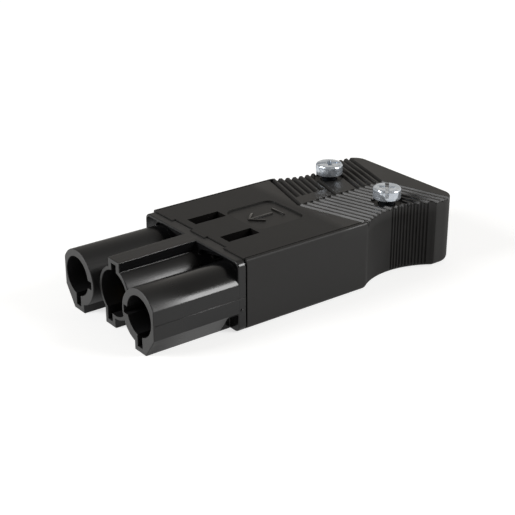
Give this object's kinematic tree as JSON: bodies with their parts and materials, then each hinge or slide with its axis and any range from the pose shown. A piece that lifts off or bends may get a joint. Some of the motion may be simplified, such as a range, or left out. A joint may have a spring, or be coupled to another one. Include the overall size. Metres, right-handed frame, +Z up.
{
  "type": "flat installation plug",
  "caption": "Flat rewireable plug with keyed shrouded contacts in a row, a waisted two-part housing, chevron grip ribs and clamp screws.",
  "frame": {"origin": "centre of the plug's length and width, on the surface that it lies on", "axes": "+X across the row of poles, +Y from the shroud mouths to the cable end, +Z up from the flat underside"},
  "size_m": [0.0286, 0.0684, 0.016],
  "materials": {
    "carrier_plastic": "moulded, half gloss black",
    "housing_plastic": "moulded, finely textured black",
    "contact_metal": "turned brass",
    "zinc_steel": "bright zinc plated"
  },
  "bodies": {
    "root": {"contact_carrier": "carrier_plastic", "housing_base": "housing_plastic", "housing_cover": "housing_plastic", "cover_screws": "zinc_steel", "terminal_screws": "zinc_steel", "line_pin": "contact_metal", "line_clamp": "zinc_steel", "earth_pin": "contact_metal", "earth_clamp": "zinc_steel", "neutral_pin": "contact_metal", "neutral_clamp": "zinc_steel"}
  },
  "joints": []
}
